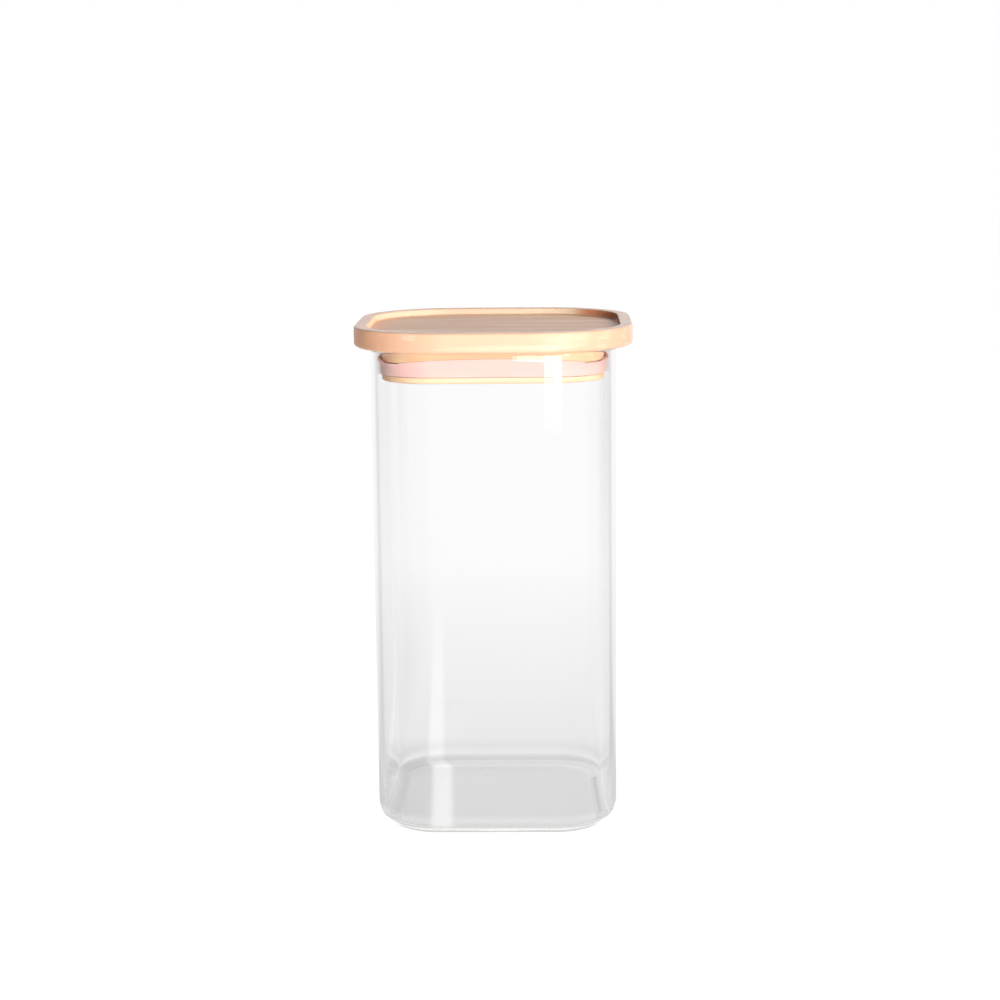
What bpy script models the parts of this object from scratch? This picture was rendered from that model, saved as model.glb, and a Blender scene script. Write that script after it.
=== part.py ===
"""Square glass storage jar with a wooden stacking lid and a silicone seal.

Metres, +Z up. The origin is the middle of the face that the jar rests on, and the jar's flat
sides look along X and Y. The lid's pieces hang from one empty on the line that the lid lifts along.
Run it with: blender --background --python part.py
"""

import math

import bmesh
import bpy

# Glass jar
JAR_WIDTH = 0.1000
JAR_HEIGHT = 0.2008
JAR_CORNER_RADIUS = 0.0254
JAR_WALL = 0.0025
JAR_BASE_THICKNESS = 0.0032
JAR_HEEL_RADIUS = 0.0104
FOOT_RING_WIDTH = 0.0050
FOOT_SLOPE_WIDTH = 0.0060
FOOT_HOLLOW = 0.0008

# Wooden lid board, with the raised rim that another jar stands inside
RIM_WIDTH = 0.0052
STACK_CLEARANCE = 0.0018
LID_THICKNESS = 0.0083
LID_CORNER_RADIUS = 0.0385
LID_TOP_ROUND = 0.0008
LID_LOWER_ROUND = 0.0015
RECESS_DEPTH = 0.0027
RECESS_EDGE_ROUND = 0.0006
RECESS_FLOOR_ROUND = 0.0005
LID_SEAT_GAP = 0.0003

# Wooden plug under the board, with the groove that holds the seal
PLUG_DEPTH = 0.0130
PLUG_LOWER_ROUND = 0.0008
PLUG_GLUE_LINE = 0.0003
GROOVE_TOP_DROP = 0.0050
GROOVE_HEIGHT = 0.0056
GROOVE_DEPTH = 0.0020

# Silicone seal in the groove, with a lip that leans out to the glass and stands higher along the sides
SEAL_FIT = 0.0003
LIP_CLEARANCE = 0.0006
LIP_THICKNESS = 0.0008
LIP_ROOM = 0.0008
LIP_LEAN = 0.0009
LIP_STAND = 0.0002
LIP_RISE = 0.0021
LIP_NOTCH_DEPTH = 0.0016
SEAL_EDGE_ROUND = 0.0003

# Fineness of the faceted curves, and the least size that a corner or a straight side keeps
CORNER_STEPS = 16
SIDE_STEPS = 6
HEEL_STEPS = 8
ROUND_STEPS = 4
RIM_STEPS = 8
LEAST_RADIUS = 0.0005
LEAST_SIDE = 0.0010

# Sizes that follow from the ones above
MOUTH_WIDTH = JAR_WIDTH - 2 * JAR_WALL
MOUTH_CORNER_RADIUS = JAR_CORNER_RADIUS - JAR_WALL
JAR_FLOOR_RADIUS = JAR_HEEL_RADIUS - JAR_WALL
RECESS_WIDTH = JAR_WIDTH + 2 * STACK_CLEARANCE
LID_WIDTH = RECESS_WIDTH + 2 * RIM_WIDTH
LID_SEAT_HEIGHT = JAR_HEIGHT + LID_SEAT_GAP
PLUG_CLEARANCE = LIP_CLEARANCE + LIP_THICKNESS + LIP_ROOM
PLUG_WIDTH = MOUTH_WIDTH - 2 * PLUG_CLEARANCE
GROOVE_BOTTOM_DROP = GROOVE_TOP_DROP + GROOVE_HEIGHT


def clear_scene():
    """Remove what the scene holds, and nothing else of the file."""
    for obj in list(bpy.data.objects):
        bpy.data.objects.remove(obj, do_unlink=True)


def finish(name, color, roughness, transmission=0.0, ior=1.45):
    """One Principled material: colour, roughness, and how much light goes through."""
    material = bpy.data.materials.new(name)
    material.use_nodes = True
    shader = material.node_tree.nodes["Principled BSDF"]
    shader.inputs["Base Color"].default_value = (*color, 1.0)
    shader.inputs["Roughness"].default_value = roughness
    shader.inputs["Metallic"].default_value = 0.0
    shader.inputs["Transmission Weight"].default_value = transmission
    shader.inputs["IOR"].default_value = ior
    return material


def round_edge(inset, z, radius, start, end, steps=ROUND_STEPS):
    """Profile points of a rounding about the centre (inset, z), from one angle to the other.

    At 0 degrees the point lies on the outer side of the centre, and at 90 degrees above it.
    """
    points = []
    for step in range(steps + 1):
        angle = math.radians(start + (end - start) * step / steps)
        points.append((inset - radius * math.cos(angle), z + radius * math.sin(angle)))
    return points


def rounded_square(width, corner_radius, inset):
    """Points of a rounded square moved in by inset, as (x, y, nearness to the middle of a side).

    The last value is 1 at the middle of each straight side and 0 from its ends on round the corners.
    """
    outer_radius = min(corner_radius, (width - LEAST_SIDE) / 2)
    radius = max(outer_radius - inset, LEAST_RADIUS)
    corner = width / 2 - inset - radius
    points = []
    for quarter in range(4):
        turn = quarter * math.pi / 2
        for step in range(CORNER_STEPS + 1):
            angle = math.pi / 2 * step / CORNER_STEPS
            along, across = corner + radius * math.cos(angle), corner + radius * math.sin(angle)
            points.append((along, across, 0.0, turn))
        for step in range(1, SIDE_STEPS):
            share = step / SIDE_STEPS
            near = math.sin(math.pi * share) ** 2
            points.append((corner - 2 * corner * share, corner + radius, near, turn))
    return [
        (
            x * math.cos(turn) - y * math.sin(turn),
            x * math.sin(turn) + y * math.cos(turn),
            near,
        )
        for x, y, near, turn in points
    ]


def loft(name, width, corner_radius, profile, material, ring=False, rises=None):
    """Sweep a profile of (inset, z) points round a rounded square.

    An open profile gets a flat face at each end. A ring profile closes on itself. The value in rises
    lifts a profile point at the middle of the straight sides.
    """
    rises = rises or [0.0] * len(profile)
    mesh = bmesh.new()
    loops = []
    for (inset, z), rise in zip(profile, rises):
        places = rounded_square(width, corner_radius, inset)
        loops.append([mesh.verts.new((x, y, z + rise * near)) for x, y, near in places])
    pairs = list(zip(loops, loops[1:]))
    if ring:
        pairs.append((loops[-1], loops[0]))
    for lower, upper in pairs:
        for i in range(len(lower)):
            j = (i + 1) % len(lower)
            mesh.faces.new((lower[i], lower[j], upper[j], upper[i]))
    if not ring:
        mesh.faces.new(list(reversed(loops[0])))
        mesh.faces.new(loops[-1])
    bmesh.ops.recalc_face_normals(mesh, faces=mesh.faces)
    data = bpy.data.meshes.new(name)
    mesh.to_mesh(data)
    mesh.free()
    data.shade_smooth()
    data.set_sharp_from_angle(angle=math.radians(40))
    data.materials.append(material)
    piece = bpy.data.objects.new(name, data)
    bpy.context.scene.collection.objects.link(piece)
    return piece


def glass_jar():
    """The jar in one wall of glass: hollow foot, rounded heel, straight sides and a melted rim."""
    heel, floor, rim = JAR_HEEL_RADIUS, JAR_FLOOR_RADIUS, JAR_WALL / 2
    ring_inner = heel + FOOT_RING_WIDTH
    profile = [(ring_inner + FOOT_SLOPE_WIDTH, FOOT_HOLLOW), (ring_inner, 0.0)]
    profile += round_edge(heel, heel, heel, -90, 0, HEEL_STEPS)
    profile += round_edge(rim, JAR_HEIGHT - rim, rim, 0, 180, RIM_STEPS)
    profile += round_edge(
        JAR_WALL + floor, JAR_BASE_THICKNESS + floor, floor, 0, -90, HEEL_STEPS
    )
    glass = finish("clear_glass", (0.93, 0.96, 0.94), 0.02, transmission=1.0, ior=1.47)
    return loft("glass_jar", JAR_WIDTH, JAR_CORNER_RADIUS, profile, glass)


def lid_board():
    """The board that lies on the jar's rim, hollowed on top so that another jar stands in it."""
    lower, upper = LID_LOWER_ROUND, LID_TOP_ROUND
    edge, floor = RECESS_EDGE_ROUND, RECESS_FLOOR_ROUND
    floor_height = LID_THICKNESS - RECESS_DEPTH
    profile = round_edge(lower, lower, lower, -90, 0)
    profile += round_edge(upper, LID_THICKNESS - upper, upper, 0, 90)
    profile += round_edge(RIM_WIDTH - edge, LID_THICKNESS - edge, edge, 90, 180)
    profile += round_edge(RIM_WIDTH + floor, floor_height + floor, floor, 0, -90)
    wood = finish("pale_wood_board", (0.80, 0.58, 0.38), 0.55)
    return loft("lid_board", LID_WIDTH, LID_CORNER_RADIUS, profile, wood)


def lid_plug():
    """The smaller board glued under the first, which drops into the mouth and carries the seal."""
    edge = PLUG_LOWER_ROUND
    profile = [
        (0.0, -PLUG_GLUE_LINE),
        (0.0, -GROOVE_TOP_DROP),
        (GROOVE_DEPTH, -GROOVE_TOP_DROP),
        (GROOVE_DEPTH, -GROOVE_BOTTOM_DROP),
        (0.0, -GROOVE_BOTTOM_DROP),
    ]
    profile += round_edge(edge, edge - PLUG_DEPTH, edge, 0, -90)
    wood = finish("pale_wood_plug", (0.78, 0.55, 0.34), 0.6)
    return loft("lid_plug", PLUG_WIDTH, MOUTH_CORNER_RADIUS - PLUG_CLEARANCE, profile, wood)


def seal_ring():
    """The seal: a body that fills the groove, and a lip that rises from it and leans outwards."""
    body_inner = PLUG_CLEARANCE + GROOVE_DEPTH - SEAL_FIT
    body_top = -(GROOVE_TOP_DROP + SEAL_FIT)
    body_bottom = -(GROOVE_BOTTOM_DROP - SEAL_FIT)
    edge, tip = SEAL_EDGE_ROUND, LIP_THICKNESS / 2
    foot = [(body_inner, body_bottom)]
    foot += round_edge(LIP_CLEARANCE + LIP_LEAN + edge, body_bottom + edge, edge, -90, 0)
    lip = round_edge(LIP_CLEARANCE + tip, body_top + LIP_STAND - tip, tip, 0, 180)
    back = [
        (PLUG_CLEARANCE - SEAL_FIT, body_top - LIP_NOTCH_DEPTH),
        (PLUG_CLEARANCE + SEAL_FIT, body_top),
        (body_inner, body_top),
    ]
    profile = foot + lip + back
    rises = [0.0] * len(foot) + [LIP_RISE] * len(lip) + [0.0] * len(back)
    silicone = finish("pale_silicone", (0.86, 0.76, 0.71), 0.45)
    return loft(
        "seal_ring", MOUTH_WIDTH, MOUTH_CORNER_RADIUS, profile, silicone, ring=True, rises=rises
    )


def main():
    clear_scene()
    glass_jar()
    lid_seat = bpy.data.objects.new("lid_seat", None)
    lid_seat.location = (0.0, 0.0, LID_SEAT_HEIGHT)
    bpy.context.scene.collection.objects.link(lid_seat)
    for piece in (lid_board(), lid_plug(), seal_ring()):
        piece.parent = lid_seat


main()
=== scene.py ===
# %% [markdown]
# # A square glass jar with a wooden lid, dressed for the studio
#
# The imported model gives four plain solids, each in its right place: a jar of clear glass, the board of the
# lid, the plug glued under it, and the seal round the plug. This lesson models each of them again with fine
# round edges, gives them glass, wood and silicone, and lights them as a product on a white table.
#
# All lengths are in metres, Z is up, and the photographed front of the jar faces -Y.

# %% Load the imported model
import math

import bmesh
import bpy
from mathutils import Matrix, Vector


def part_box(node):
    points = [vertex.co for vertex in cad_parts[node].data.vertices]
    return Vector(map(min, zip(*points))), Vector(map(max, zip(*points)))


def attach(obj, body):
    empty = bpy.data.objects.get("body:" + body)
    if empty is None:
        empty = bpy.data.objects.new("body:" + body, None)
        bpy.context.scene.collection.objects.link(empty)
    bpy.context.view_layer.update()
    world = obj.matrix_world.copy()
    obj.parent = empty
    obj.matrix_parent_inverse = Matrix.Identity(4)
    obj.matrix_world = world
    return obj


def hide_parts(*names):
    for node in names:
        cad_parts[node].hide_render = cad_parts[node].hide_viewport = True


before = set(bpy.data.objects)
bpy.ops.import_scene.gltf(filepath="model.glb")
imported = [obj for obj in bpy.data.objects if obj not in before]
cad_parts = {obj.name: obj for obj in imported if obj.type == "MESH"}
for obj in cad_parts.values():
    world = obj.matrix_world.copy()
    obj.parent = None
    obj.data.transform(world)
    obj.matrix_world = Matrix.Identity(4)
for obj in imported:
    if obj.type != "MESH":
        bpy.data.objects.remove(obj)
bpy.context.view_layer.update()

MM = 0.001

# %% [markdown]
# ## Sizes
#
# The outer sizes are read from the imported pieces, so that every new piece lands where the old one is. What a
# box can't tell, such as a wall, a corner or an edge, is named once, just before the piece that needs it. The
# lid's corner, rim and recess come first, because the wood's grain needs them as well as the board.

# %% Read the outer sizes from the frame
jar_low, jar_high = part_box("glass_jar")
board_low, board_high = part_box("lid_board")
plug_low, plug_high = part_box("lid_plug")
seal_low, seal_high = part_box("seal_ring")

for name, low, high in (
    ("jar", jar_low, jar_high),
    ("board", board_low, board_high),
    ("plug", plug_low, plug_high),
    ("seal", seal_low, seal_high),
):
    print(name, "width and height, mm:", round((high.x - low.x) / MM, 1), round((high.z - low.z) / MM, 1))

LID_CORNER_RADIUS = 38.5 * MM
LID_RIM = 5.2 * MM
RECESS_DEPTH = 2.7 * MM
recess_floor = board_high.z - RECESS_DEPTH

# %% [markdown]
# ## Tools for modelling by operators
#
# Each piece of this jar is the same square with round corners, pulled up, stepped in and rounded over. So one
# way of working makes them all, as by hand: start from a flat square, round its corners, pull the face up or
# down, step it in, and round the edges at the end. These helpers are the moves of the hand, and each one is
# one or two of Blender's own operators.

# %% Start a piece and finish it
CORNER_STEPS = 24
LONG_EDGE = 0.25
SHADE_ANGLE = math.radians(40)


def start_square(name, width, height, corner_radius, side_cuts=0):
    """A flat square face with round corners, alone, in edit mode and selected."""
    bpy.ops.object.select_all(action="DESELECT")
    bpy.ops.mesh.primitive_plane_add(size=width, location=(0.0, 0.0, height))
    piece = bpy.context.active_object
    piece.name = piece.data.name = name
    bpy.ops.object.transform_apply(location=True, rotation=True, scale=True)
    bpy.ops.object.mode_set(mode="EDIT")
    bpy.ops.mesh.select_mode(type="VERT")
    bpy.ops.mesh.select_all(action="SELECT")
    bpy.ops.mesh.bevel(offset=corner_radius, segments=CORNER_STEPS, affect="VERTICES", clamp_overlap=False)
    if side_cuts:
        pick("EDGE", lambda edge: edge.calc_length() > LONG_EDGE * width)
        bpy.ops.mesh.subdivide(number_cuts=side_cuts)
    bpy.ops.mesh.select_mode(type="FACE")
    bpy.ops.mesh.select_all(action="SELECT")
    return piece


def point_outwards():
    """Point all faces outwards. The tests for inner and outer walls need it too."""
    bpy.ops.mesh.select_all(action="SELECT")
    bpy.ops.mesh.normals_make_consistent(inside=False)


def finish_piece(piece, body, node, material):
    """Close the edit, point the faces outwards, smooth the shading, give the material, hang the piece on its
    body and hide the imported part.
    """
    point_outwards()
    bpy.ops.object.mode_set(mode="OBJECT")
    bpy.ops.object.shade_smooth_by_angle(angle=SHADE_ANGLE)
    evener = piece.modifiers.new("even_shading", "WEIGHTED_NORMAL")
    evener.keep_sharp = True
    bpy.ops.object.modifier_apply(modifier=evener.name)
    piece.data.materials.append(material)
    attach(piece, body)
    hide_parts(node)
    print(piece.name, "faces:", len(piece.data.polygons))


# %% Select by place
NEAR = 0.02 * MM
UPRIGHT = 0.5


def edit_mesh():
    """The mesh that is open in edit mode."""
    return bmesh.from_edit_mesh(bpy.context.active_object.data)


def pick(kind, wanted):
    """Select the elements of a kind, FACE, EDGE or VERT, that pass a test, and nothing else."""
    bpy.ops.mesh.select_mode(type=kind)
    bpy.ops.mesh.select_all(action="DESELECT")
    mesh = edit_mesh()
    mesh.normal_update()
    for element in {"FACE": mesh.faces, "EDGE": mesh.edges, "VERT": mesh.verts}[kind]:
        element.select_set(wanted(element))
    mesh.select_flush_mode()
    bmesh.update_edit_mesh(bpy.context.active_object.data)


def at_height(element, height):
    """True if a face or an edge lies level at this height."""
    return all(abs(vert.co.z - height) < NEAR for vert in element.verts)


def is_wall(face):
    """True if a face stands upright, or nearly."""
    return abs(face.normal.z) < UPRIGHT


def looks_outwards(face):
    """True if an upright face looks away from the middle of the jar."""
    middle = face.calc_center_median()
    return face.normal.x * middle.x + face.normal.y * middle.y > 0


def wall_edges(height, outwards=None):
    """A test for the edges at one height that an upright wall meets."""
    def wanted(edge):
        walls = [face for face in edge.link_faces if is_wall(face)]
        if not at_height(edge, height) or len(walls) != 1:
            return False
        return outwards is None or looks_outwards(walls[0]) == outwards
    return wanted


# %% Pull, step in and round over
ROUND_PROFILE = 0.5


def pull(distance):
    """Extrude the selected faces straight up, or down if the distance is negative."""
    bpy.ops.mesh.extrude_region_move(TRANSFORM_OT_translate={"value": (0.0, 0.0, distance)})


def step_in(distance, lift=0.0):
    """Inset the selected faces, and lift them if asked."""
    bpy.ops.mesh.inset(thickness=distance, depth=0.0, use_even_offset=True)
    if lift:
        bpy.ops.transform.translate(value=(0.0, 0.0, lift))


def round_over(wanted, radius, steps):
    """Round the edges that pass a test to a radius."""
    pick("EDGE", wanted)
    bpy.ops.mesh.bevel(
        offset=radius, segments=steps, profile=ROUND_PROFILE, affect="EDGES", clamp_overlap=False
    )


# %% [markdown]
# ## Glass
#
# The jar is one blown piece of clear glass. Principled with full transmission bends and mirrors light as
# glass does, its colour is a very slight cool tone, and a faint noise in its normals gives the waviness that
# blowing leaves. Three more things help it in a studio:
#
# - Lamps can't be sampled through a bending surface. So rays from lamps and soft bounces pass through a plain
#   Transparent shader instead, and the wood inside is lit without noise.
# - A ray can be mirrored to and fro inside the wall until it dies and leaves a dark spot. So after a few
#   mirrorings it leaves straight through.
# - A little absorption in the volume gives the green that shows only where the glass is thick.

# %% Start a material, and do sums in its node tree
def new_material(name):
    """A material with nodes, and its node tree."""
    material = bpy.data.materials.new(name)
    material.use_nodes = True
    return material, material.node_tree


def give(tree, socket, term):
    """Feed an input with another node's output, or with a plain number or colour."""
    if isinstance(term, bpy.types.NodeSocket):
        tree.links.new(term, socket)
    else:
        socket.default_value = term


def formula(tree, operation, *terms, clamp=False):
    """A Math node on sockets or plain numbers, and the socket with its result."""
    node = tree.nodes.new("ShaderNodeMath")
    node.operation = operation
    node.use_clamp = clamp
    for socket, term in zip(node.inputs, terms):
        give(tree, socket, term)
    return node.outputs["Value"]


# %% Glass surface
GLASS_COLOUR = (0.992, 0.990, 1.0, 1.0)
GLASS_IOR = 1.47
WAVE_SCALE = 34.0
WAVE_DETAIL = 1.0
WAVE_HEIGHT = 0.02 * MM

clear_glass, tree = new_material("clear_glass")
nodes, links = tree.nodes, tree.links
glass_shader = nodes["Principled BSDF"]
glass_shader.inputs["Base Color"].default_value = GLASS_COLOUR
glass_shader.inputs["Roughness"].default_value = 0.0
glass_shader.inputs["IOR"].default_value = GLASS_IOR
glass_shader.inputs["Transmission Weight"].default_value = 1.0

place = nodes.new("ShaderNodeTexCoord")
waves = nodes.new("ShaderNodeTexNoise")
waves.inputs["Scale"].default_value = WAVE_SCALE
waves.inputs["Detail"].default_value = WAVE_DETAIL
bump = nodes.new("ShaderNodeBump")
bump.inputs["Distance"].default_value = WAVE_HEIGHT
links.new(place.outputs["Object"], waves.inputs["Vector"])
links.new(waves.outputs["Fac"], bump.inputs["Height"])
links.new(bump.outputs["Normal"], glass_shader.inputs["Normal"])
print("glass waves, mm:", round(WAVE_HEIGHT / MM, 3))

# %% Ways through the glass, and its green
GLASS_PASS = (0.98, 0.99, 0.98, 1.0)
MOST_MIRRORINGS = 2.5
GLASS_TINT = (0.70, 0.80, 0.52, 1.0)
GLASS_TINT_DENSITY = 5.0

path = nodes.new("ShaderNodeLightPath")
passing = nodes.new("ShaderNodeBsdfTransparent")
passing.inputs["Color"].default_value = GLASS_PASS
leaving = nodes.new("ShaderNodeBsdfTransparent")
trapped = formula(tree, "GREATER_THAN", path.outputs["Glossy Depth"], MOST_MIRRORINGS)
shader_out = glass_shader.outputs["BSDF"]
for chance, way_out in (
    (trapped, leaving),
    (path.outputs["Is Diffuse Ray"], passing),
    (path.outputs["Is Shadow Ray"], passing),
):
    glass_mix = nodes.new("ShaderNodeMixShader")
    links.new(chance, glass_mix.inputs["Fac"])
    links.new(shader_out, glass_mix.inputs[1])
    links.new(way_out.outputs["BSDF"], glass_mix.inputs[2])
    shader_out = glass_mix.outputs["Shader"]
links.new(shader_out, nodes["Material Output"].inputs["Surface"])

green = nodes.new("ShaderNodeVolumeAbsorption")
green.inputs["Color"].default_value = GLASS_TINT
green.inputs["Density"].default_value = GLASS_TINT_DENSITY
links.new(green.outputs["Volume"], nodes["Material Output"].inputs["Volume"])
print("glass nodes:", len(nodes))

# %% [markdown]
# ## The jar
#
# The glass is blown into a square mould, so its outside has round corners and a round heel, and its inside
# follows at one wall's distance. The rim is melted smooth, and the foot is a flat ring round a very shallow
# hollow. We pull a rounded square up to full height, step in by the wall, and push the face back down to the
# floor. Then the edges are rounded: foot, heel, floor and rim.

# %% Model the jar
JAR_CORNER_RADIUS = 25.4 * MM
GLASS_WALL = 2.5 * MM
GLASS_BASE = 3.2 * MM
HEEL_RADIUS = 10.4 * MM
HEEL_STEPS = 14
FLOOR_RADIUS = 4.2 * MM
RIM_SHARE = 0.49  # of the wall, so that the two rounds of the rim all but meet
RIM_STEPS = 6
FOOT_RING = 5.0 * MM
FOOT_SLOPE = 7.0 * MM
FOOT_HOLLOW = 0.12 * MM
FOOT_ROUND = 1.0 * MM
FOOT_STEPS = 4
LEAST_BEND = 1e-4

jar_width = jar_high.x - jar_low.x
jar_height = jar_high.z - jar_low.z
floor_height = jar_low.z + GLASS_BASE


def foot_bend(edge):
    """True for the edges where the flat foot ring begins to rise into the hollow."""
    if not at_height(edge, jar_low.z) or len(edge.link_faces) != 2 or wall_edges(jar_low.z)(edge):
        return False
    return abs(edge.link_faces[0].normal.z - edge.link_faces[1].normal.z) > LEAST_BEND


jar = start_square("jar_glass", jar_width, jar_low.z, JAR_CORNER_RADIUS)
pull(jar_height)
step_in(GLASS_WALL)
pull(GLASS_BASE - jar_height)
pick("FACE", lambda face: at_height(face, jar_low.z))
step_in(HEEL_RADIUS + FOOT_RING)
step_in(FOOT_SLOPE, lift=FOOT_HOLLOW)
point_outwards()
round_over(lambda edge: at_height(edge, jar_low.z + FOOT_HOLLOW), FOOT_ROUND, FOOT_STEPS)
round_over(foot_bend, FOOT_ROUND, FOOT_STEPS)
round_over(wall_edges(jar_low.z), HEEL_RADIUS, HEEL_STEPS)
round_over(wall_edges(floor_height), FLOOR_RADIUS, HEEL_STEPS)
round_over(wall_edges(jar_high.z), RIM_SHARE * GLASS_WALL, RIM_STEPS)
finish_piece(jar, "jar", "glass_jar", clear_glass)

# %% [markdown]
# ## Wood grain
#
# Both boards of the lid are the same pale close-grained wood, so one node group makes the grain for both.
# Rings run round an axis that lies along the board, so the top shows long lines and the ends show arcs, as on
# a sawn board. Fibres and broad streaks are noise that is stretched along the same axis, and short dark
# flecks are the pores. All four are added up to one tone, which goes from the pale wood to the dark.

# %% Move, stretch and mix inside a node tree
def vector_formula(tree, operation, place, numbers=None):
    """A Vector Math node on a place, and the socket with its result."""
    node = tree.nodes.new("ShaderNodeVectorMath")
    node.operation = operation
    tree.links.new(place, node.inputs[0])
    if numbers:
        node.inputs[1].default_value = numbers
    return node.outputs["Value" if operation == "LENGTH" else "Vector"]


def stretched_noise(tree, place, stretch, detail, roughness=0.5):
    """Noise with its own scale along each axis. A small scale draws it out along that axis."""
    node = tree.nodes.new("ShaderNodeTexNoise")
    for name, number in (("Scale", 1.0), ("Detail", detail), ("Roughness", roughness)):
        node.inputs[name].default_value = number
    tree.links.new(vector_formula(tree, "MULTIPLY", place, stretch), node.inputs["Vector"])
    return node.outputs["Fac"]


def ranged(tree, value, low, high, at_low, at_high, smooth=False):
    """A value that goes from one number to another while a socket goes from low to high."""
    node = tree.nodes.new("ShaderNodeMapRange")
    node.interpolation_type = "SMOOTHSTEP" if smooth else "LINEAR"
    tree.links.new(value, node.inputs["Value"])
    for name, number in (("From Min", low), ("From Max", high), ("To Min", at_low), ("To Max", at_high)):
        node.inputs[name].default_value = number
    return node.outputs["Result"]


def chosen(tree, chance, otherwise, value, kind="FLOAT"):
    """The second value where the chance is 1, and the first where it is 0. Kind RGBA mixes colours."""
    node = tree.nodes.new("ShaderNodeMix")
    node.data_type = kind
    tree.links.new(chance, node.inputs["Factor"])
    give(tree, node.inputs["A"], otherwise)
    give(tree, node.inputs["B"], value)
    return node.outputs["Result"]


# %% Start the wood grain group
grain = bpy.data.node_groups.new("wood_grain", "ShaderNodeTree")
for socket_name, way, socket_type in (
    ("Place", "INPUT", "NodeSocketVector"),
    ("Pale", "INPUT", "NodeSocketColor"),
    ("Dark", "INPUT", "NodeSocketColor"),
    ("End Grain And Shade", "INPUT", "NodeSocketColor"),
    ("Ring Depth", "INPUT", "NodeSocketFloat"),
    ("Fibre Depth", "INPUT", "NodeSocketFloat"),
    ("Color", "OUTPUT", "NodeSocketColor"),
    ("Roughness", "OUTPUT", "NodeSocketFloat"),
    ("Height", "OUTPUT", "NodeSocketFloat"),
):
    grain.interface.new_socket(socket_name, in_out=way, socket_type=socket_type)

given = grain.nodes.new("NodeGroupInput").outputs
result = grain.nodes.new("NodeGroupOutput").inputs
grain_axes = grain.nodes.new("ShaderNodeSeparateXYZ")
grain.links.new(given["Place"], grain_axes.inputs["Vector"])
along, up = grain_axes.outputs["X"], grain_axes.outputs["Z"]
print("grain sockets:", len(grain.interface.items_tree))

# %% Rings, fibres, pores and broad streaks
HEART_PLACE = (0.0, 0.060, 0.085)
RING_SCALE = 95.0
RING_WOBBLE = 3.0
RING_WOBBLE_DETAIL = 2.0
RING_WOBBLE_SCALE = 0.25
FIBRE_STRETCH = (14.0, 420.0, 420.0)
FIBRE_DETAIL = 4.0
FIBRE_ROUGHNESS = 0.6
FLECK_STRETCH = (260.0, 2600.0, 2600.0)
FLECK_DETAIL = 1.0
FLECK_EDGE = (0.60, 0.72)
FLECK_DEPTH = 0.35
BROAD_STRETCH = (9.0, 190.0, 190.0)
BROAD_DETAIL = 2.0
BROAD_EDGE = (0.44, 0.64)
BROAD_DEPTH = 0.95

rings = grain.nodes.new("ShaderNodeTexWave")
rings.wave_type = "RINGS"
rings.rings_direction = "X"
rings.wave_profile = "SAW"
for name, number in (
    ("Scale", RING_SCALE),
    ("Distortion", RING_WOBBLE),
    ("Detail", RING_WOBBLE_DETAIL),
    ("Detail Scale", RING_WOBBLE_SCALE),
):
    rings.inputs[name].default_value = number
grain.links.new(vector_formula(grain, "ADD", given["Place"], HEART_PLACE), rings.inputs["Vector"])
fibres = stretched_noise(grain, given["Place"], FIBRE_STRETCH, FIBRE_DETAIL, FIBRE_ROUGHNESS)
flecks = stretched_noise(grain, given["Place"], FLECK_STRETCH, FLECK_DETAIL)
broad_streaks = stretched_noise(grain, given["Place"], BROAD_STRETCH, BROAD_DETAIL)

ring_tone = formula(grain, "MULTIPLY", rings.outputs["Fac"], given["Ring Depth"])
fibre_tone = formula(grain, "MULTIPLY", fibres, given["Fibre Depth"])
fleck_tone = ranged(grain, flecks, *FLECK_EDGE, 0.0, FLECK_DEPTH)
broad_tone = ranged(grain, broad_streaks, *BROAD_EDGE, 0.0, BROAD_DEPTH)
fine_tone = formula(grain, "ADD", ring_tone, fibre_tone)
mark_tone = formula(grain, "ADD", broad_tone, fleck_tone)
wood_tone = formula(grain, "ADD", fine_tone, mark_tone, clamp=True)
print("grain nodes so far:", len(grain.nodes))

# %% [markdown]
# Three places of the lid differ from the plain face of a board, and the group knows them by their place. At
# the left end the tone is deeper and redder. That is partly end grain, where the fibres are cut across, and
# partly painted shade of the side that the lamps leave dim. The inner wall of the recess is left by the router
# and is matt. Its colour is painted light and shade: paler where the lamps light its back, and a dark red
# painted shade towards the right, on end grain that faces away from the lamps. And the upper edge is polished
# by the hands that lift the lid.

# %% End grain with painted shade, and the routed wall's painted light and shade
LEFT_END_GRAIN_AND_SHADE_EDGE = (-0.036, -0.056)
# Painted light and shade on the routed wall: pale where the lamps light its back, and dark red painted shade at
# the right, where it faces away from them.
ROUTED_PAINTED_LIGHT = (0.99, 0.80, 0.58, 1.0)
ROUTED_PAINTED_SHADE = (0.80, 0.34, 0.17, 1.0)
ROUTED_PAINTED_SHADE_EDGE = (0.030, 0.041)
ROUTED_CORNER = board_high.x - LID_CORNER_RADIUS
ROUTED_LIMIT = LID_CORNER_RADIUS - LID_RIM / 2
ROUTED_FOOT = (recess_floor + 0.1 * MM, recess_floor + 0.5 * MM)
ROUTED_TOP = (board_high.z - 0.5 * MM, board_high.z - 0.1 * MM)

off_corner = given["Place"]
for operation, numbers in (
    ("ABSOLUTE", None),
    ("SUBTRACT", (ROUTED_CORNER, ROUTED_CORNER, 0.0)),
    ("MAXIMUM", (0.0, 0.0, 0.0)),
    ("MULTIPLY", (1.0, 1.0, 0.0)),
):
    off_corner = vector_formula(grain, operation, off_corner, numbers)
routed = formula(grain, "LESS_THAN", vector_formula(grain, "LENGTH", off_corner), ROUTED_LIMIT)
routed = formula(grain, "MULTIPLY", routed, ranged(grain, up, *ROUTED_FOOT, 0.0, 1.0))
routed = formula(grain, "MULTIPLY", routed, ranged(grain, up, *ROUTED_TOP, 1.0, 0.0))

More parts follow.
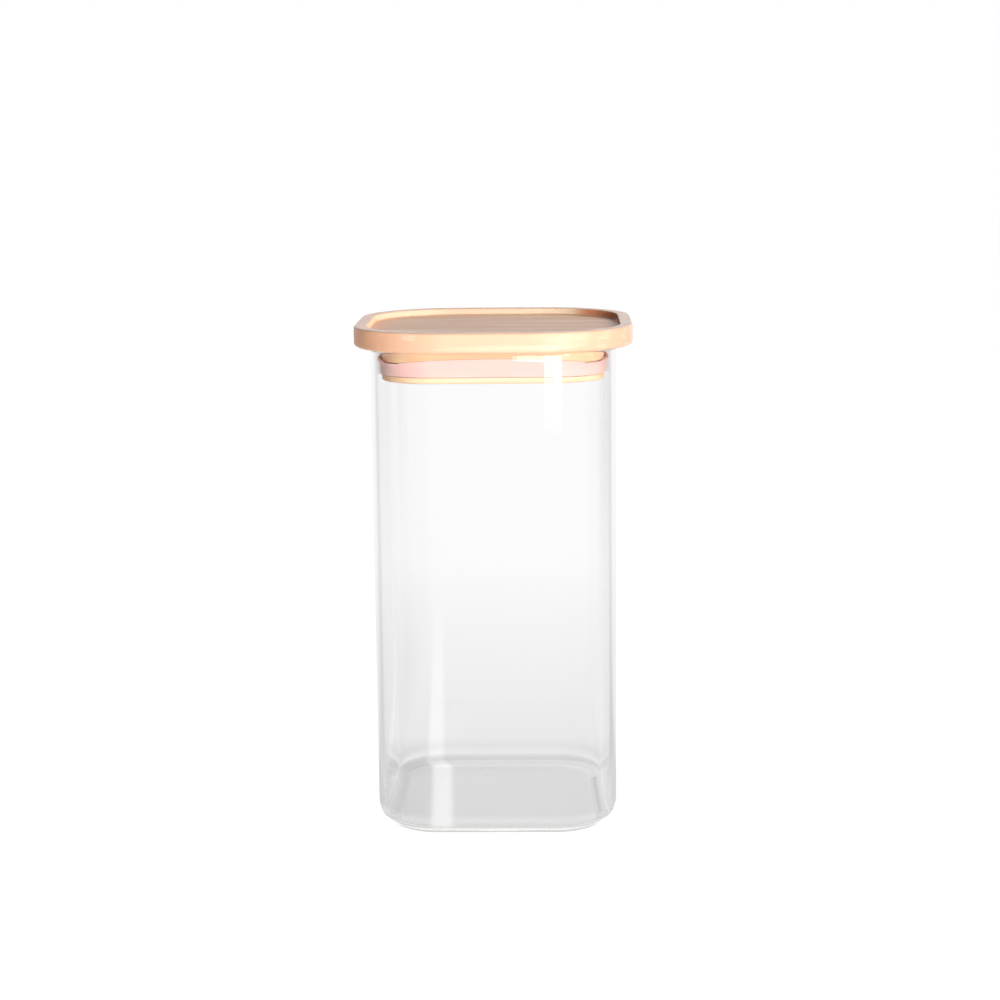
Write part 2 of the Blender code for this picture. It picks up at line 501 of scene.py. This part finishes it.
wood_colour = chosen(grain, wood_tone, given["Pale"], given["Dark"], "RGBA")
# Painted shade: the left end takes the End Grain colour, which is partly end grain and partly the shade of the
# side that the lamps leave dim.
left_end_grain_and_shade = ranged(grain, along, *LEFT_END_GRAIN_AND_SHADE_EDGE, 0.0, 1.0, smooth=True)
wood_colour = chosen(grain, left_end_grain_and_shade, wood_colour, given["End Grain And Shade"], "RGBA")
# The painted shade grows towards the right end of the wall.
right_painted_shade = ranged(grain, along, *ROUTED_PAINTED_SHADE_EDGE, 0.0, 1.0, smooth=True)
routed_light_and_shade = chosen(grain, right_painted_shade, ROUTED_PAINTED_LIGHT, ROUTED_PAINTED_SHADE, "RGBA")
grain.links.new(chosen(grain, routed, wood_colour, routed_light_and_shade, "RGBA"), result["Color"])
print("routed wall, mm:", [round(height / MM, 2) for height in (*ROUTED_FOOT, *ROUTED_TOP)])

# %% Gloss and relief of the wood
WOOD_ROUGHNESS = (0.26, 0.42)
HANDLED_EDGE = (board_high.z - 1.2 * MM, board_high.z - 0.1 * MM)
HANDLED_SHARE = 0.6
ROUTED_ROUGHNESS = 0.8

matness = ranged(grain, wood_tone, 0.0, 1.0, *WOOD_ROUGHNESS)
handled = ranged(grain, up, *HANDLED_EDGE, 1.0, HANDLED_SHARE, smooth=True)
matness = formula(grain, "MULTIPLY", matness, handled)
grain.links.new(chosen(grain, routed, matness, ROUTED_ROUGHNESS), result["Roughness"])
grain.links.new(formula(grain, "SUBTRACT", 1.0, wood_tone), result["Height"])
print("grain nodes:", len(grain.nodes))

# %% [markdown]
# Each board gets its own material with its own tones, because two boards that are glued together are never
# quite alike: the plug is a little yellower than the board above it.

# %% Wood materials
GRAIN_HEIGHT = 0.06 * MM


def wood_material(name, pale, dark, end, ring_depth, fibre_depth):
    """Satin wood whose tone, painted light and shade included, gloss and fine relief come from the grain group.
    """
    material, tree = new_material(name)
    nodes, links = tree.nodes, tree.links
    shader = nodes["Principled BSDF"]
    place = nodes.new("ShaderNodeTexCoord")
    grain_node = nodes.new("ShaderNodeGroup")
    grain_node.node_tree = grain
    for socket_name, value in (
        ("Pale", pale),
        ("Dark", dark),
        ("End Grain And Shade", end),
        ("Ring Depth", ring_depth),
        ("Fibre Depth", fibre_depth),
    ):
        grain_node.inputs[socket_name].default_value = value
    relief = nodes.new("ShaderNodeBump")
    relief.inputs["Distance"].default_value = GRAIN_HEIGHT
    links.new(place.outputs["Object"], grain_node.inputs["Place"])
    links.new(grain_node.outputs["Color"], shader.inputs["Base Color"])
    links.new(grain_node.outputs["Roughness"], shader.inputs["Roughness"])
    links.new(grain_node.outputs["Height"], relief.inputs["Height"])
    links.new(relief.outputs["Normal"], shader.inputs["Normal"])
    print(name, "nodes:", len(nodes))
    return material


# Each board's end colour is partly end grain and partly painted shade for its dim left end.
board_wood = wood_material(
    "board_wood",
    pale=(0.97, 0.655, 0.465, 1.0),
    dark=(0.89, 0.52, 0.34, 1.0),
    end=(0.98, 0.49, 0.27, 1.0),
    ring_depth=0.45,
    fibre_depth=0.50,
)
plug_wood = wood_material(
    "plug_wood",
    pale=(0.97, 0.74, 0.50, 1.0),
    dark=(0.91, 0.57, 0.325, 1.0),
    end=(0.75, 0.25, 0.08, 1.0),
    ring_depth=0.50,
    fibre_depth=0.45,
)

# %% [markdown]
# ## The lid board
#
# The board is routed: its outline is wider than the glass, and a shallow recess leaves a raised rim that
# another jar can stand inside. We pull the outline up, step in by the rim, push the recess down, and give
# each edge the radius that a router and sandpaper leave.

# %% Model the lid board
LID_TOP_ROUND = 0.8 * MM
LID_LOWER_ROUND = 1.5 * MM
RECESS_EDGE_ROUND = 0.6 * MM
RECESS_FLOOR_ROUND = 0.5 * MM
EDGE_STEPS = 5

board = start_square("lid_board_wood", board_high.x - board_low.x, board_low.z, LID_CORNER_RADIUS)
pull(board_high.z - board_low.z)
step_in(LID_RIM)
pull(-RECESS_DEPTH)
point_outwards()
round_over(wall_edges(board_low.z), LID_LOWER_ROUND, EDGE_STEPS)
round_over(wall_edges(board_high.z, outwards=True), LID_TOP_ROUND, EDGE_STEPS)
round_over(wall_edges(board_high.z, outwards=False), RECESS_EDGE_ROUND, EDGE_STEPS)
round_over(wall_edges(recess_floor), RECESS_FLOOR_ROUND, EDGE_STEPS)
finish_piece(board, "lid", "lid_board", board_wood)

# %% [markdown]
# ## The plug
#
# A smaller board is glued under the first and drops into the mouth. A groove runs round it for the seal. The
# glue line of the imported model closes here, because on the real lid the two boards touch. We pull the plug up
# in three steps, so that the middle one can be pushed in as the groove.

# %% Model the plug
GROOVE_LOW = 2.4 * MM
GROOVE_HEIGHT = 5.6 * MM
GROOVE_DEPTH = 2.0 * MM
PLUG_ROUND = 0.8 * MM
JOINT_OVERLAP = 0.2 * MM

mouth_corner = JAR_CORNER_RADIUS - GLASS_WALL
mouth_width = jar_width - 2 * GLASS_WALL
plug_width = plug_high.x - plug_low.x
plug_gap = (mouth_width - plug_width) / 2
groove_low = plug_low.z + GROOVE_LOW
groove_high = groove_low + GROOVE_HEIGHT

plug = start_square("lid_plug_wood", plug_width, plug_low.z, mouth_corner - plug_gap)
pull(GROOVE_LOW)
pull(GROOVE_HEIGHT)
pull(board_low.z + JOINT_OVERLAP - groove_high)
point_outwards()
pick("FACE", lambda face: is_wall(face) and groove_low < face.calc_center_median().z < groove_high)
bpy.ops.mesh.extrude_region_shrink_fatten(
    TRANSFORM_OT_shrink_fatten={"value": -GROOVE_DEPTH, "use_even_offset": True}
)
round_over(wall_edges(plug_low.z), PLUG_ROUND, EDGE_STEPS)
finish_piece(plug, "lid", "lid_plug", plug_wood)

# %% [markdown]
# ## Silicone
#
# The seal is soft, milky silicone with a pale pink of its own. Light sinks in a little before it comes back,
# which Subsurface does, and a fine noise keeps tone and gloss from looking like paint.

# %% Silicone material
SILICONE_PALE = (0.90, 0.560, 0.515, 1.0)
SILICONE_DEEP = (0.87, 0.515, 0.470, 1.0)
SILICONE_ROUGHNESS = (0.38, 0.52)
SOFT_SHARE = 0.15
SOFT_REACH = (1.2 * MM, 0.7 * MM, 0.5 * MM)
CLOUD_SCALE = 90.0

silicone, tree = new_material("silicone")
nodes, links = tree.nodes, tree.links
soft_shader = nodes["Principled BSDF"]
soft_shader.inputs["Subsurface Weight"].default_value = SOFT_SHARE
soft_shader.inputs["Subsurface Radius"].default_value = SOFT_REACH
soft_shader.inputs["Subsurface Scale"].default_value = 1.0
place = nodes.new("ShaderNodeTexCoord")
cloud = nodes.new("ShaderNodeTexNoise")
cloud.inputs["Scale"].default_value = CLOUD_SCALE
links.new(place.outputs["Object"], cloud.inputs["Vector"])
cloud_tone = chosen(tree, cloud.outputs["Fac"], SILICONE_PALE, SILICONE_DEEP, "RGBA")
links.new(cloud_tone, soft_shader.inputs["Base Color"])
cloud_matness = ranged(tree, cloud.outputs["Fac"], 0.0, 1.0, *SILICONE_ROUGHNESS)
links.new(cloud_matness, soft_shader.inputs["Roughness"])
print("silicone nodes:", len(nodes))

# %% [markdown]
# ## The seal
#
# The seal is one moulded ring. Its body fills the groove, and a thin lip stands up from the outer side and
# leans out to the glass. Along the straight sides the lip rides higher, because the corners stretch it down.
# We cut a flat ring into three narrow ones, pull all three up, then pull only the lip and only the body.

# %% Draw the seal's ring
SEAL_FOOT_GAP = 1.5 * MM
SEAL_BODY_INSET = 3.9 * MM
LIP_WIDTH = 0.8 * MM
NOTCH_WIDTH = 0.5 * MM
LIP_RISE = 2.1 * MM
LIP_STAND = 0.2 * MM
NOTCH_DEPTH = 1.6 * MM
SIDE_CUTS = 15

seal_width = mouth_width - 2 * SEAL_FOOT_GAP
seal_corner = mouth_corner - SEAL_FOOT_GAP
lip_top = seal_high.z - LIP_RISE
body_top = lip_top - LIP_STAND
notch_height = body_top - NOTCH_DEPTH

seal = start_square("seal_silicone", seal_width, seal_low.z, seal_corner, side_cuts=SIDE_CUTS)
step_in(LIP_WIDTH)
step_in(NOTCH_WIDTH)
step_in(SEAL_BODY_INSET - SEAL_FOOT_GAP - LIP_WIDTH - NOTCH_WIDTH)
bpy.ops.mesh.delete(type="FACE")
bpy.ops.mesh.select_all(action="SELECT")
pull(notch_height - seal_low.z)
print("seal ring drawn, verts:", len(edit_mesh().verts))


# %% Pull up the lip and the body of the seal
def inset_of(point, half_width, corner_radius):
    """How far inside the outline of a rounded square a point lies."""
    corner = half_width - corner_radius
    out_x, out_y = abs(point.x) - corner, abs(point.y) - corner
    if out_x > 0 and out_y > 0:
        return corner_radius - math.hypot(out_x, out_y)
    return half_width - max(abs(point.x), abs(point.y))


def top_ring(height, start, end):
    """A test for the level faces at a height, between two insets from the foot of the seal."""
    def wanted(face):
        inset = inset_of(face.calc_center_median(), seal_width / 2, seal_corner)
        return at_height(face, height) and start < inset < end
    return wanted


pick("FACE", top_ring(notch_height, 0.0, LIP_WIDTH))
pull(lip_top - notch_height)
lean = (seal_high.x - seal_low.x) / seal_width
bpy.ops.transform.resize(value=(lean, lean, 1.0))
pick("FACE", top_ring(notch_height, LIP_WIDTH + NOTCH_WIDTH, SEAL_BODY_INSET))
pull(body_top - notch_height)
print("lean of the lip:", round(lean, 4))

# %% [markdown]
# Each side is then lifted at its middle, and proportional editing draws the rest of that side along in a
# round curve. Everything but the top of the lip is hidden meanwhile, so that it stays where it is.

# %% Raise the lip along the sides
RAISED_SHARE = 0.8

pick("FACE", lambda face: at_height(face, lip_top))
bpy.ops.mesh.hide(unselected=True)
for side_x, side_y in ((0, -1), (0, 1), (-1, 0), (1, 0)):
    pick("VERT", lambda vert: (
        not vert.hide
        and vert.co.x * side_x + vert.co.y * side_y > 0
        and abs(vert.co.x * side_y) + abs(vert.co.y * side_x) < NEAR
    ))
    bpy.ops.transform.translate(
        value=(0.0, 0.0, LIP_RISE),
        use_proportional_edit=True,
        proportional_edit_falloff="SPHERE",
        proportional_size=RAISED_SHARE * seal_width / 2,
    )
bpy.ops.mesh.reveal(select=False)
point_outwards()
finish_piece(seal, "lid", "seal_ring", silicone)
heights = [vert.co.z / MM for vert in seal.data.vertices]
print("seal from", round(min(heights), 2), "to", round(max(heights), 2), "mm")
print("its box in the packed model:", round(seal_low.z / MM, 2), "to", round(seal_high.z / MM, 2), "mm")

# %% [markdown]
# ## The table
#
# The jar stands on a white table in front of white. Seen straight by the camera, the table keeps the jar's
# soft shadow: a weak diffuse paper takes it, and a glow lifts the rest to white.

# %% Table
TABLE_WIDTH = 12.0
TABLE_DROP = 0.05 * MM

bpy.ops.object.select_all(action="DESELECT")
bpy.ops.mesh.primitive_plane_add(size=TABLE_WIDTH, location=(0.0, 0.0, jar_low.z - TABLE_DROP))
table = bpy.context.active_object
table.name = table.data.name = "white_table"
bpy.ops.object.transform_apply(location=True, rotation=True, scale=True)
print("table, m:", TABLE_WIDTH)

# %% [markdown]
# ## What the glass shows of the table
#
# Clear glass is drawn by what stands round it. A photographer sets pale and dark cards there; here the
# table's glow is painted instead, and it depends on the kind of ray that meets it. Every tone is laid out by
# the place on the table: `reach` is the distance from the middle, measured so that its lines are squares with
# round corners, as the jar's foot is, and the direction is the place divided by that reach.

# %% Places on the table
SQUARENESS = 4.0

table_paper, tree = new_material("table_paper")
nodes, links = tree.nodes, tree.links
nodes.remove(nodes["Principled BSDF"])
place = nodes.new("ShaderNodeTexCoord")
axes = nodes.new("ShaderNodeSeparateXYZ")
links.new(place.outputs["Object"], axes.inputs["Vector"])
x, y = axes.outputs["X"], axes.outputs["Y"]
abs_x, abs_y = formula(tree, "ABSOLUTE", x), formula(tree, "ABSOLUTE", y)
powers = [formula(tree, "POWER", axis, SQUARENESS) for axis in (abs_x, abs_y)]
reach = formula(tree, "POWER", formula(tree, "ADD", *powers), 1.0 / SQUARENESS)
way_x, way_y = formula(tree, "DIVIDE", x, reach), formula(tree, "DIVIDE", y, reach)
print("nodes for places:", len(nodes))

# %% [markdown]
# Through the glass the table carries painted shade: a little grey under the jar, more so at the left, and
# lighter beside it. A faint painted ring of light follows the outline of the jar at its back, and further off
# the painted shade slowly lifts.

# %% Seen through the glass: the table's painted shade and light
UNDER_JAR_SHADE = 0.615
UNDER_LEFT_SHADE = 0.54
LEFT_SHADE_EDGE = (-0.036, -0.020)
BESIDE_JAR = 0.865
NEAR_FADE = (0.046, 0.105)
FAR_LIFT = 0.14
FAR_FADE = (0.10, 0.50)
RIM_GLOW = 0.14
RIM_GLOW_IN = (0.039, 0.047)
RIM_GLOW_OUT = (0.055, 0.061)
RIM_GLOW_FRONT = (-0.035, -0.015)
RIM_GLOW_LEFT = (-0.040, -0.020)
RIM_GLOW_LEAST = 0.35

# Painted shade: the glow is lower under the jar and lower still at its left, and a painted ring of light lies
# round its back.
painted_shade_under_jar = ranged(tree, x, *LEFT_SHADE_EDGE, UNDER_LEFT_SHADE, UNDER_JAR_SHADE, smooth=True)
near = chosen(tree, ranged(tree, reach, *NEAR_FADE, 0.0, 1.0, smooth=True), painted_shade_under_jar, BESIDE_JAR)
rim_glow = formula(
    tree, "MULTIPLY",
    ranged(tree, reach, *RIM_GLOW_IN, 0.0, RIM_GLOW, smooth=True),
    ranged(tree, reach, *RIM_GLOW_OUT, 1.0, 0.0, smooth=True),
)
rim_share = formula(
    tree, "MULTIPLY",
    ranged(tree, y, *RIM_GLOW_FRONT, 0.0, 1.0, smooth=True),
    ranged(tree, x, *RIM_GLOW_LEFT, RIM_GLOW_LEAST, 1.0, smooth=True),
)
near = formula(tree, "MULTIPLY_ADD", rim_glow, rim_share, near)
behind = formula(tree, "ADD", near, ranged(tree, reach, *FAR_FADE, 0.0, FAR_LIFT))
print("nodes for the tone:", len(nodes))

# %% [markdown]
# Away from straight behind, the room falls off towards the sides, more so at the right. That shade draws the
# upright edges of the glass. The room's own light further down uses the same helper, so that the table and
# the backdrop meet without a seam.

# %% Seen through the glass: shade at the sides, and the jar's shadow
SIDE_PAPER = 0.25
SIDE_EDGE = (0.60, 0.98)
FRONT_EDGE = (-0.2, 0.3)
LEFT_TO_RIGHT = (-0.2, 0.2)
LEFT_SHARE = 0.6
SIDE_FADE = (0.05, 0.12)
SIDE_FAR = (0.25, 1.10)
SIDE_NEAR_SHARE = 0.38
SHADOW_EDGE = (-0.045, -0.078)
SHADOW_DEPTH = 0.06
SHADOW_FADE = (0.15, 0.60)


def shaded_side(tree, x, y):
    """How much darker the glass shows the room away from straight behind, more so on the right."""
    shade = ranged(tree, y, *SIDE_EDGE, 1.0 - SIDE_PAPER, 0.0, smooth=True)
    shade = formula(tree, "MULTIPLY", shade, ranged(tree, y, *FRONT_EDGE, 0.0, 1.0, smooth=True))
    return formula(tree, "MULTIPLY", shade, ranged(tree, x, *LEFT_TO_RIGHT, LEFT_SHARE, 1.0))


shadow = formula(
    tree, "MULTIPLY",
    ranged(tree, x, *SHADOW_EDGE, 0.0, SHADOW_DEPTH, smooth=True),
    ranged(tree, reach, *SHADOW_FADE, 1.0, 0.0, smooth=True),
)
behind = formula(tree, "SUBTRACT", behind, shadow)
off_the_foot = formula(
    tree, "MULTIPLY",
    ranged(tree, reach, *SIDE_FADE, 0.0, 1.0, smooth=True),
    ranged(tree, reach, *SIDE_FAR, SIDE_NEAR_SHARE, 1.0, smooth=True),
)
to_the_side = formula(tree, "MULTIPLY", shaded_side(tree, way_x, way_y), off_the_foot)
behind = formula(tree, "MULTIPLY", behind, formula(tree, "SUBTRACT", 1.0, to_the_side))
print("nodes for the shade:", len(nodes))

# %% [markdown]
# One soft upright streak of light shows in the lower left of the glass. Here it is painted on the table that
# the glass shows. It starts under the jar, brighter and a little further in, and runs back and out until it
# fades.

# %% Seen through the glass: the streak of light
STREAK_X = -0.0286
STREAK_SLOPE = -0.052
STREAK_WIDTH = 0.0062
STREAK_CORE = 0.4
STREAK_GLOW = 0.125
STREAK_START = (-0.050, -0.042)
STREAK_END = (0.08, 0.42)
NEAR_STREAK_X = -0.0249
NEAR_STREAK_GLOW = 0.29
STREAK_STEP = (0.044, 0.056)

streak_x = ranged(tree, y, *STREAK_STEP, NEAR_STREAK_X, STREAK_X)
streak_x = formula(tree, "MULTIPLY_ADD", y, STREAK_SLOPE, streak_x)
off_streak = formula(tree, "ABSOLUTE", formula(tree, "SUBTRACT", x, streak_x))
streak = ranged(tree, off_streak, STREAK_CORE * STREAK_WIDTH, STREAK_WIDTH, 1.0, 0.0, smooth=True)
streak = formula(tree, "MULTIPLY", streak, ranged(tree, y, *STREAK_STEP, NEAR_STREAK_GLOW, STREAK_GLOW))
streak_run = formula(
    tree, "MULTIPLY",
    ranged(tree, y, *STREAK_END, 1.0, 0.0, smooth=True),
    ranged(tree, y, *STREAK_START, 0.0, 1.0, smooth=True),
)
behind = formula(tree, "MULTIPLY_ADD", streak, streak_run, behind)
print("nodes for the streak:", len(nodes))

# %% [markdown]
# In a reflection the room in front is dark at the left and lighter at the right, half light at the sides and
# white behind. A fine bright line is painted into the table's glow under the round heel, a little inside the
# jar's outline. It is a painted highlight that the heel mirrors, standing in for the lit table. It is weakest
# at the corners.

# %% Seen in a reflection
MIRRORED_LEFT = 0.0
MIRRORED_FRONT = 0.70
MIRRORED_SIDE = 0.45
MIRROR_LEFT_EDGE = (-0.45, 0.04)
MIRROR_SIDE_EDGE = (-0.1, 0.5)
MIRROR_BACK_EDGE = (0.55, 0.96)
MIRRORED_NEAR = 0.69
MIRRORED_FADE = (0.08, 0.60)


def mirrored_room(tree, x, y, left=MIRRORED_LEFT, side=MIRRORED_SIDE):
    """How light the room looks in a reflection, by the direction that the ray has gone."""
    front = chosen(tree, ranged(tree, x, *MIRROR_LEFT_EDGE, 0.0, 1.0, smooth=True), left, MIRRORED_FRONT)
    front = chosen(tree, ranged(tree, y, *MIRROR_SIDE_EDGE, 0.0, 1.0, smooth=True), front, side)
    return chosen(tree, ranged(tree, y, *MIRROR_BACK_EDGE, 0.0, 1.0, smooth=True), front, 1.0)


left_table, side_table = (
    ranged(tree, reach, *MIRRORED_FADE, MIRRORED_NEAR, tone, smooth=True)
    for tone in (MIRRORED_LEFT, MIRRORED_SIDE)
)
mirrored = mirrored_room(tree, way_x, way_y, left_table, side_table)
print("nodes with the reflection:", len(nodes))

# %% The painted highlight under the heel
HEEL_LINE_INSET = 3.6 * MM
HEEL_LINE_FADE = (0.6 * MM, 1.7 * MM)
# Painted highlight: the strength of the bright line painted under the heel.
PAINTED_HEEL_HIGHLIGHT = 2.7
HEEL_LINE_CORNER = (0.026, 0.042)
HEEL_LINE_LEAST = 0.25

straight_side = jar_width / 2 - JAR_CORNER_RADIUS
past_x, past_y = (
    formula(tree, "MAXIMUM", formula(tree, "SUBTRACT", axis, straight_side), 0.0)
    for axis in (abs_x, abs_y)
)
from_corner = formula(tree, "MULTIPLY_ADD", past_x, past_x, formula(tree, "MULTIPLY", past_y, past_y))
from_corner = formula(tree, "SQRT", from_corner)
off_heel_line = formula(tree, "SUBTRACT", from_corner, JAR_CORNER_RADIUS - HEEL_LINE_INSET)
off_heel_line = formula(tree, "ABSOLUTE", off_heel_line)
# The painted highlight is a thin line at a fixed inset from the jar's outline.
painted_heel_highlight = ranged(tree, off_heel_line, *HEEL_LINE_FADE, PAINTED_HEEL_HIGHLIGHT, 0.0, smooth=True)
off_middle = formula(tree, "MINIMUM", abs_x, abs_y)
heel_share = ranged(tree, off_middle, *HEEL_LINE_CORNER, 1.0, HEEL_LINE_LEAST, smooth=True)
mirrored = formula(tree, "MULTIPLY_ADD", painted_heel_highlight, heel_share, mirrored)
print("heel line, mm from the jar's outline:", round(HEEL_LINE_INSET / MM, 1))

# %% [markdown]
# The last nodes choose by the kind of ray. The camera sees the weak paper and the glow. Rays that the glass
# or the wood sends on see the painted glow alone. All other rays meet plain white paper, which throws the
# light of the lamps back up at the jar.

# %% Choose by the kind of ray
PAPER = (0.92, 0.92, 0.92, 1.0)
SEEN_PAPER = (0.20, 0.20, 0.20, 1.0)
SEEN_GLOW = 0.95
SEEN_FADE = (0.30, 1.00)


def mixed_shader(tree, kind, *shaders):
    """A node that mixes or adds two shaders, with the shaders linked in."""
    node = tree.nodes.new(kind)
    for socket, shader in zip(list(node.inputs)[-2:], shaders):
        tree.links.new(shader.outputs[0], socket)
    return node


path = nodes.new("ShaderNodeLightPath")
seen_glow = chosen(tree, path.outputs["Is Transmission Ray"], mirrored, behind)
straight_glow = ranged(tree, reach, *SEEN_FADE, SEEN_GLOW, 1.0)
seen_glow = chosen(tree, path.outputs["Is Camera Ray"], seen_glow, straight_glow)
glow = nodes.new("ShaderNodeEmission")
links.new(seen_glow, glow.inputs["Strength"])
paper = nodes.new("ShaderNodeBsdfDiffuse")
paper.inputs["Color"].default_value = PAPER
faint_paper = nodes.new("ShaderNodeBsdfDiffuse")
faint_paper.inputs["Color"].default_value = SEEN_PAPER

seen_paper = mixed_shader(tree, "ShaderNodeAddShader", faint_paper, glow)
by_mirror = mixed_shader(tree, "ShaderNodeMixShader", paper, glow)
links.new(path.outputs["Is Glossy Ray"], by_mirror.inputs["Fac"])
by_camera = mixed_shader(tree, "ShaderNodeMixShader", by_mirror, seen_paper)
links.new(path.outputs["Is Camera Ray"], by_camera.inputs["Fac"])
links.new(by_camera.outputs["Shader"], nodes["Material Output"].inputs["Surface"])
table.data.materials.append(table_paper)
print("table nodes:", len(nodes))

# %% [markdown]
# ## The room
#
# The backdrop is white where the camera sees it. As a light it is a dim, soft room, a little stronger at the
# right, so that most of the light comes from the lamps. Through the glass and in reflections it has the same
# shaded sides as the table.

# %% Room
LEFT_ROOM = 0.03
RIGHT_ROOM = 0.10
ROOM_LEFT = 0.45
BACKDROP = 1.0

room = bpy.data.worlds.new("white_room")
bpy.context.scene.world = room
room.use_nodes = True
tree = room.node_tree
nodes, links = tree.nodes, tree.links
place = nodes.new("ShaderNodeTexCoord")
axes = nodes.new("ShaderNodeSeparateXYZ")
links.new(place.outputs["Generated"], axes.inputs["Vector"])
x, y = axes.outputs["X"], axes.outputs["Y"]
path = nodes.new("ShaderNodeLightPath")
light = ranged(tree, x, -1.0, 1.0, LEFT_ROOM, RIGHT_ROOM)
mirrored = mirrored_room(tree, x, y, ROOM_LEFT)
seen_through = formula(tree, "SUBTRACT", BACKDROP, shaded_side(tree, x, y))
seen_through = chosen(tree, ranged(tree, y, *FRONT_EDGE, 0.0, 1.0, smooth=True), mirrored, seen_through)
strength = chosen(tree, path.outputs["Is Glossy Ray"], light, mirrored)
strength = chosen(tree, path.outputs["Is Transmission Ray"], strength, seen_through)
strength = chosen(tree, path.outputs["Is Camera Ray"], strength, BACKDROP)
nodes["Background"].inputs["Color"].default_value = (1.0, 1.0, 1.0, 1.0)
links.new(strength, nodes["Background"].inputs["Strength"])
print("room nodes:", len(nodes))

# %% [markdown]
# ## Lamps
#
# All lamps are softboxes, rectangles that stand round the jar and face it. A key and a sheen softbox share
# the light from the front right, and only the sheen one shows in reflections. Two high ones, at the right and
# behind, light the recess of the lid. Three low ones, at the right, the left and the front, light the lid's
# edge, and the plug and the seal through the glass.
#
# The mouth and strip softboxes light nothing. They are only mirrored: a small bright patch just under the
# lid, and a pale strip where the flat front of the glass turns into its right corner. In each of them a
# narrow lamp stands inside a wide one, for a soft edge. Two lamps at the same distance would hide each other
# from a mirrored ray, so nested ones stand 5 mm apart. No lamp shows in a straight view or through the glass.

# %% Lamps that light the jar
LAMP_DISTANCE = 1.2


def softbox(name, azimuth, distance, low, high, width, radiance, lights=True, mirrored=True):
    """A rectangular lamp that stands round the jar and faces it. Azimuth 0 is the front, 90 the right."""
    lamp = bpy.data.lights.new(name, "AREA")
    lamp.shape = "RECTANGLE"
    lamp.size, lamp.size_y = width, high - low
    lamp.energy = radiance * math.pi * width * (high - low)
    holder = bpy.data.objects.new(name, lamp)
    bpy.context.scene.collection.objects.link(holder)
    angle = math.radians(azimuth)
    holder.location = (distance * math.sin(angle), -distance * math.cos(angle), (low + high) / 2)
    holder.rotation_euler = (math.radians(90.0), 0.0, angle)
    holder.visible_camera = False
    holder.visible_transmission = False
    holder.visible_glossy = mirrored
    holder.visible_diffuse = lights
    print(name, "watts:", round(lamp.energy, 2))


for name, azimuth, low, high, width, radiance, mirrored in (
    ("key_softbox", 25.0, 0.22, 0.57, 0.30, 19.5, False),
    ("sheen_softbox", 23.0, 0.22, 0.57, 0.30, 22.0, True),
    ("right_back_softbox", 100.0, 0.60, 1.20, 0.30, 11.5, False),
    ("back_softbox", 150.0, 0.60, 1.20, 0.30, 11.5, False),
    ("right_low_softbox", 95.0, 0.03, 0.25, 0.30, 1.5, False),
    ("left_low_softbox", -40.0, 0.03, 0.20, 0.30, 13.5, False),
    ("front_low_softbox", 3.0, 0.03, 0.20, 0.36, 10.0, False),
):
    softbox(name, azimuth, LAMP_DISTANCE, low, high, width, radiance, mirrored=mirrored)

# %% Lamps that are only mirrored
MOUTH_AZIMUTH = 0.36
MOUTH_HEIGHTS = (0.066, 0.100)
MOUTH_RADIANCE = 4.6
MOUTH_NEST = ((1.190, 0.034), (1.195, 0.044))
STRIP_AZIMUTH = 8.6
STRIP_NEST = ((1.000, 0.23), (1.005, 0.27))
STRIP_PARTS = ((0.028, 0.040, 1.4), (0.040, 0.052, 3.9), (0.052, 0.160, 12.5), (0.160, 0.400, 2.3))

for distance, width in MOUTH_NEST:
    softbox("mouth_softbox", MOUTH_AZIMUTH, distance, *MOUTH_HEIGHTS, width, MOUTH_RADIANCE, lights=False)
for low, high, radiance in STRIP_PARTS:
    for distance, width in STRIP_NEST:
        softbox("strip_softbox", STRIP_AZIMUTH, distance, low, high, width, radiance / 2, lights=False)

# %% [markdown]
# ## Camera
#
# The photograph was taken from a little above the lid, a little to the right of the jar's middle, with a long
# lens. Its place, heading, tilt and roll were worked out from the outlines of the jar and the lid.

# %% Camera
LENS = 76.88
SENSOR_WIDTH = 36.0
CAMERA_DISTANCE = 0.89006
CAMERA_HEIGHT = 0.29394
CAMERA_AZIMUTH = 0.02909
CAMERA_HEADING = CAMERA_AZIMUTH - 0.0018
CAMERA_TILT = 0.17908
CAMERA_ROLL = -0.0106

camera_data = bpy.data.cameras.new("camera")
camera_data.lens = LENS
camera_data.sensor_width = SENSOR_WIDTH
camera = bpy.data.objects.new("camera", camera_data)
bpy.context.scene.collection.objects.link(camera)
stand_x = CAMERA_DISTANCE * math.sin(CAMERA_AZIMUTH)
stand_y = -CAMERA_DISTANCE * math.cos(CAMERA_AZIMUTH)
camera.matrix_world = (
    Matrix.Translation(Vector((stand_x, stand_y, CAMERA_HEIGHT)))
    @ Matrix.Rotation(CAMERA_HEADING, 4, "Z")
    @ Matrix.Rotation(math.pi / 2 - CAMERA_TILT, 4, "X")
    @ Matrix.Rotation(CAMERA_ROLL, 4, "Z")
)
bpy.context.scene.camera = camera
bpy.context.scene.view_settings.view_transform = "Standard"
print("camera lens, mm:", LENS)
